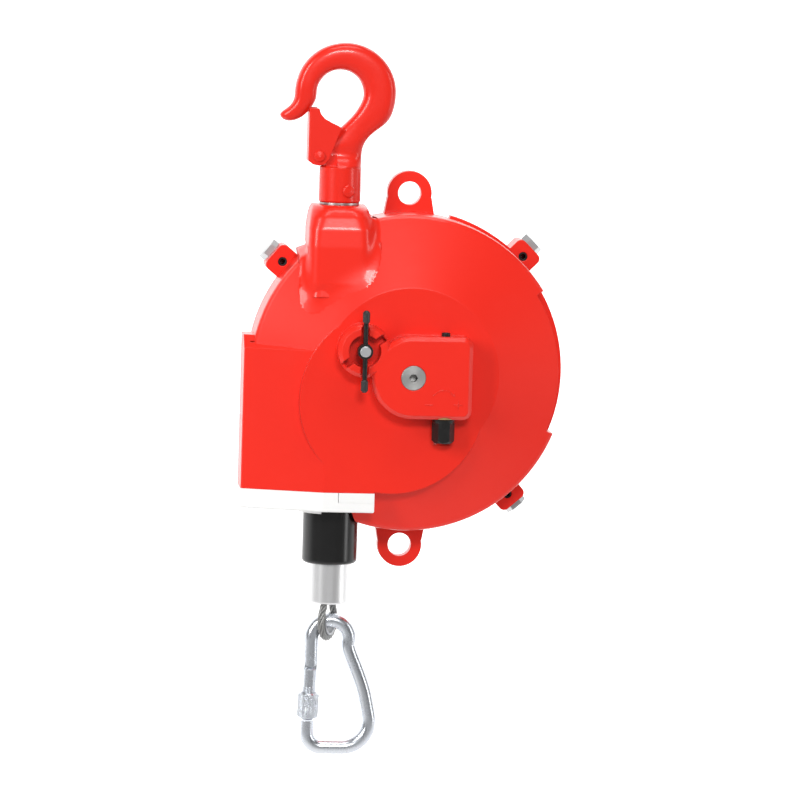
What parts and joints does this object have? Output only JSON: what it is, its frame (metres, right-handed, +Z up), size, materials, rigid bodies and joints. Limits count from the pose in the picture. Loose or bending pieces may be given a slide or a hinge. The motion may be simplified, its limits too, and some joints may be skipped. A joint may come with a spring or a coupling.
{
  "type": "tool balancer",
  "caption": "Spring balancer for hanging tools: round cast housing on a swivel hook, wire rope with rubber bumper and ferrule, and a carabiner with a screw gate.",
  "frame": {"origin": "saddle of the hook, in the middle of its thickness", "axes": "+Z up along the hook and rope line, front face of the housing towards -Y, drum axis along Y"},
  "size_m": [0.2145, 0.1205, 0.4745],
  "materials": {
    "red_casting": "glossy red powder coat on cast aluminium",
    "red_steel": "glossy red paint on forged steel",
    "casting": "bare die casting",
    "steel": "turned steel",
    "spring_steel": "blued spring steel",
    "zinc": "bright zinc plating",
    "black_steel": "black oxide",
    "bronze": "sintered bronze",
    "wire_rope": "stranded galvanised wire",
    "white_plastic": "satin nylon",
    "black_plastic": "matt plastic",
    "black_rubber": "satin rubber",
    "aluminium": "satin pressed aluminium"
  },
  "bodies": {
    "hook": {"hook": "red_steel", "hook_rivet": "red_steel", "latch_rivet": "red_steel", "latch_spring": "spring_steel", "swivel_stud": "steel", "swivel_washer": "steel", "thrust_washer": "steel", "swivel_nut": "steel"},
    "latch": {"latch": "red_steel"},
    "housing": {"front_cover": "red_casting", "rear_casing": "red_casting", "casing_bolts": "zinc", "roll_pins": "black_steel", "rope_guide": "white_plastic", "guide_insert": "white_plastic", "guide_screws": "zinc", "gear_carrier": "casting", "carrier_screws": "zinc", "front_bush": "bronze", "rear_bush": "bronze", "worm_bush": "bronze", "thrust_screw": "black_steel"},
    "drum": {"rope_drum": "casting", "drum_front_bush": "bronze", "drum_rear_bush": "bronze", "spring_cover": "steel", "spring_cover_screws": "zinc", "mainspring": "spring_steel", "rope_on_drum": "wire_rope"},
    "worm": {"worm_shaft": "black_steel"},
    "shaft": {"main_shaft": "steel", "shaft_keys": "steel", "worm_wheel": "bronze", "spring_arbor": "steel"},
    "lock_plunger": {"lock_pin": "zinc"},
    "lock_handle": {"lock_head": "black_steel", "lock_lever": "black_steel", "lever_caps": "black_plastic"},
    "rope_end": {"rope_run": "wire_rope", "bumper": "black_rubber", "ferrule": "aluminium", "rope_loop": "wire_rope", "thimble": "zinc"},
    "carabiner": {"carabiner_bow": "zinc", "carabiner_pin": "zinc"},
    "gate": {"carabiner_gate": "zinc"},
    "sleeve": {"screw_sleeve": "zinc"}
  },
  "joints": [
    {"name": "swivel", "type": "hinge", "parent": "hook", "child": "housing", "pos_m": [0, 0, -0.089], "axis": [0, 0, 1], "continuous": true},
    {"name": "latch_hinge", "type": "hinge", "parent": "hook", "child": "latch", "pos_m": [-0.0147, 0, -0.057], "axis": [0, 1, 0], "range_deg": [0, 35], "stiffness_Nm_per_rad": 0.03, "springref_deg": -45.84},
    {"name": "drum_turn", "type": "hinge", "parent": "housing", "child": "drum", "pos_m": [0.048, 0, -0.199], "axis": [0, -1, 0], "range_deg": [0, 1620], "stiffness_Nm_per_rad": 0.05, "springref_deg": -2291.83},
    {"name": "rope_pull", "type": "slide", "parent": "housing", "child": "rope_end", "axis": [0, 0, -1], "range_m": [0, 1.5], "deforming": ["rope_run"]},
    {"name": "worm_turn", "type": "hinge", "parent": "housing", "child": "worm", "pos_m": [0.0695, -0.039, -0.199], "axis": [0, 0, 1], "continuous": true},
    {"name": "shaft_turn", "type": "hinge", "parent": "housing", "child": "shaft", "pos_m": [0.048, 0, -0.199], "axis": [0, 1, 0], "continuous": true},
    {"name": "lock_push", "type": "slide", "parent": "housing", "child": "lock_plunger", "axis": [0, 1, 0], "range_m": [0, 0.005]},
    {"name": "lock_turn", "type": "hinge", "parent": "lock_plunger", "child": "lock_handle", "pos_m": [0.0156, -0.051, -0.182], "axis": [0, 1, 0], "range_deg": [0, 54]},
    {"name": "carabiner_swing", "type": "hinge", "parent": "rope_end", "child": "carabiner", "pos_m": [0.0022, 0, -0.379], "axis": [0, 1, 0], "range_deg": [-45, 45]},
    {"name": "gate_hinge", "type": "hinge", "parent": "carabiner", "child": "gate", "pos_m": [-0.0103, 0, -0.393], "axis": [0, -1, 0], "range_deg": [0, 22], "stiffness_Nm_per_rad": 0.03, "springref_deg": -34.38},
    {"name": "sleeve_slide", "type": "slide", "parent": "gate", "child": "sleeve", "axis": [-0.0372, 0, -0.9993], "range_m": [0, 0.007]}
  ],
  "couplings": [
    {"joint": "worm_turn", "follows": "shaft_turn", "ratio": 20},
    {"joint": "rope_pull", "follows": "drum_turn", "m_per_rad": 0.053}
  ]
}
